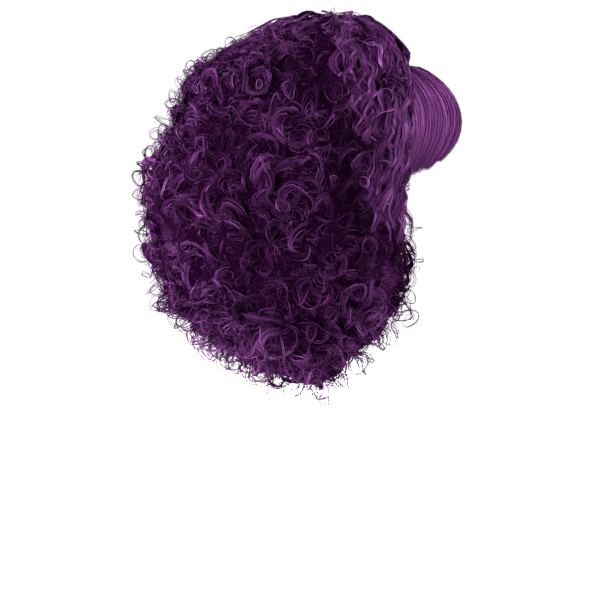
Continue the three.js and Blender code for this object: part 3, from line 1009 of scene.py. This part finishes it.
def lip_sheet(crown, fringe):
    """From the front of the smooth crown over its lip, to where the fringe comes out from under it."""
    pairs = zip(crown.points, fringe.points)
    whole = [np.concatenate([over[LIP_ROW:], under[UNDER_LIP]]) for over, under in pairs]
    return Sheet([even(column, SHEET_ROWS) for column in whole], 2)


def add_under(name, node, voxel, depth, material):
    """The dense hair at an even depth under a section's strands."""
    def inset(places):
        return np.full(len(places), depth)

    finish_piece(shrunken(name, [node], voxel, inset, material), "straight_hair")


def add_fringe(material, under_material):
    """The fringe's strands, and its outer face for what meets it."""
    fibres = Fibres()
    sheet = sheet_over(**FRINGE_FACE)
    sheet.strands(fibres, FRINGE_STRANDS)
    sheet_over(**FRINGE_FACE, inside=True).strands(fibres, FRINGE_INSIDE)
    finish_piece(fibres.build("fringe_strands", material), "straight_hair", "fringe")
    add_under("hair_under_fringe", "fringe", FRINGE_VOXEL, FRINGE_INSET, under_material)
    return sheet


def add_crown(material, under_material, fringe_sheet):
    """The smooth crown's strands, and its face for what lies beside it."""
    fibres = Fibres()
    sheet = sheet_over(**CROWN_FACE)
    sheet.strands(fibres, CROWN_STRANDS)
    lip_sheet(sheet, fringe_sheet).strands(fibres, CROWN_LIP)
    finish_piece(fibres.build("crown_top_strands", material), "straight_hair", "crown_top")
    add_under("hair_under_crown", "crown_top", CROWN_VOXEL, CROWN_INSET, under_material)
    return sheet


# Sewn tapes
WEFT_SIDES = (0.02, 0.98)  # across the smooth crown
WEFT_ROWS = np.linspace(0.5, 0.72, 30)
TAPE_HALF, TAPE_LIFT = 1.6 * MM, 1.2 * MM
STITCHES, STITCH_POINTS = 5, 4
STITCH_REACH, STITCH_HALF, STITCH_LIFT = 1.3, 0.45 * MM, 1.5 * MM
MIDDLE_TONE = 0.5
TAPE_COLOUR, THREAD_COLOUR = (0.008, 0.004, 0.009), (0.1, 0.07, 0.11)


def add_weft_tracks(sheet):
    """The sewn tapes that show beside the smooth crown, with their stitches."""
    tapes, stitches = Fibres(), Fibres()
    for side in WEFT_SIDES:
        runs, normals = sheet.laid(np.full_like(WEFT_ROWS, side), WEFT_ROWS)
        along = unit(np.gradient(runs, axis=0))
        across = unit(np.cross(along, normals))
        tape_widths = np.full((1, len(runs)), TAPE_HALF)
        tapes.add((runs + normals * TAPE_LIFT)[None], across[None], tape_widths, np.array([MIDDLE_TONE]))
        chosen = np.linspace(1, len(runs) - 2, STITCHES).astype(int)
        reach = np.linspace(-STITCH_REACH, STITCH_REACH, STITCH_POINTS)[None, :, None] * MM
        middles = runs[chosen] + normals[chosen] * STITCH_LIFT
        threads = middles[:, None] + across[chosen][:, None] * reach
        sides = np.repeat(along[chosen][:, None], STITCH_POINTS, axis=1)
        widths = np.full(threads.shape[:2], STITCH_HALF)
        stitches.add(threads, sides, widths, np.full(STITCHES, MIDDLE_TONE))
    tape = plain_material("weft_tape", TAPE_COLOUR)
    thread = plain_material("stitch_thread", THREAD_COLOUR)
    finish_piece(tapes.build("weft_tracks", tape), "cap_net")
    finish_piece(stitches.build("weft_stitches", thread), "cap_net")


# The whole wig
CURL_TONES = ((0.005, 0.0005, 0.005), (0.033, 0.006, 0.037), (0.09, 0.022, 0.104), (0.17, 0.055, 0.2))
STRAIGHT_TONES = ((0.02, 0.0025, 0.023), (0.08, 0.017, 0.09), (0.185, 0.05, 0.205), (0.27, 0.085, 0.3))
CURL_LOOK = {"root_shade": 0.4, "contrast": 1.5, "roughness": 0.46, "tinted_shine": 0.32, "sheen": 0.15}
CROWN_LOOK = {"root_shade": 0.6, "contrast": 1, "roughness": 0.45, "tinted_shine": 0.25, "sheen": 0.06}
FRINGE_LOOK = {"root_shade": 0.6, "contrast": 1.3, "roughness": 0.36, "tinted_shine": 0.4, "sheen": 0.25}
# The dense hair under the fibres is really there, and its tones, darker than the fibres', are painted shade
# deep between them; under the curls it is made lighter by the face as painted light.
UNDER_CURLS_LOOK = {"dark": (0.006, 0.0006, 0.006), "light": (0.02, 0.0025, 0.021), "painted_light_at_face": 6}
UNDER_STRAIGHT_LOOK = {"dark": (0.02, 0.003, 0.022), "light": (0.06, 0.01, 0.065)}
UNDER_CURLS = {"deepest": 12, "less_on_top": 10.5, "less_in_waves": 8.5}
CURLS_VOXEL = 6 * MM


def curls_inset(places):
    """Deep between the ringlets, and close under the long waves and on top."""
    top = grows(places[:, 2], 60, 100) * grows(places[:, 1], 80, 30)
    less = np.maximum(UNDER_CURLS["less_on_top"] * top, UNDER_CURLS["less_in_waves"] * waviness(places))
    return (UNDER_CURLS["deepest"] - less) * MM


def add_hair():
    curl_fibre = fibre_material("curled_fibre", CURL_TONES, **CURL_LOOK)
    crown_fibre = fibre_material("crown_fibre", STRAIGHT_TONES, **CROWN_LOOK)
    fringe_fibre = fibre_material("fringe_fibre", STRAIGHT_TONES, **FRINGE_LOOK)
    matted_curls = matted_material("matted_curls", **UNDER_CURLS_LOOK)
    matted_straight = matted_material("matted_straight", **UNDER_STRAIGHT_LOOK)
    finish_piece(shrunken("hair_under_curls", TIERS, CURLS_VOXEL, curls_inset, matted_curls), "curls")
    add_curls(curl_fibre)
    fringe_sheet = add_fringe(fringe_fibre, matted_straight)
    crown_sheet = add_crown(crown_fibre, matted_straight, fringe_sheet)
    add_weft_tracks(crown_sheet)


add_camera()
add_world()
add_lamps()
add_floor()
add_hair()
NODES["cap"].data.materials.clear()
NODES["cap"].data.materials.append(net_material())
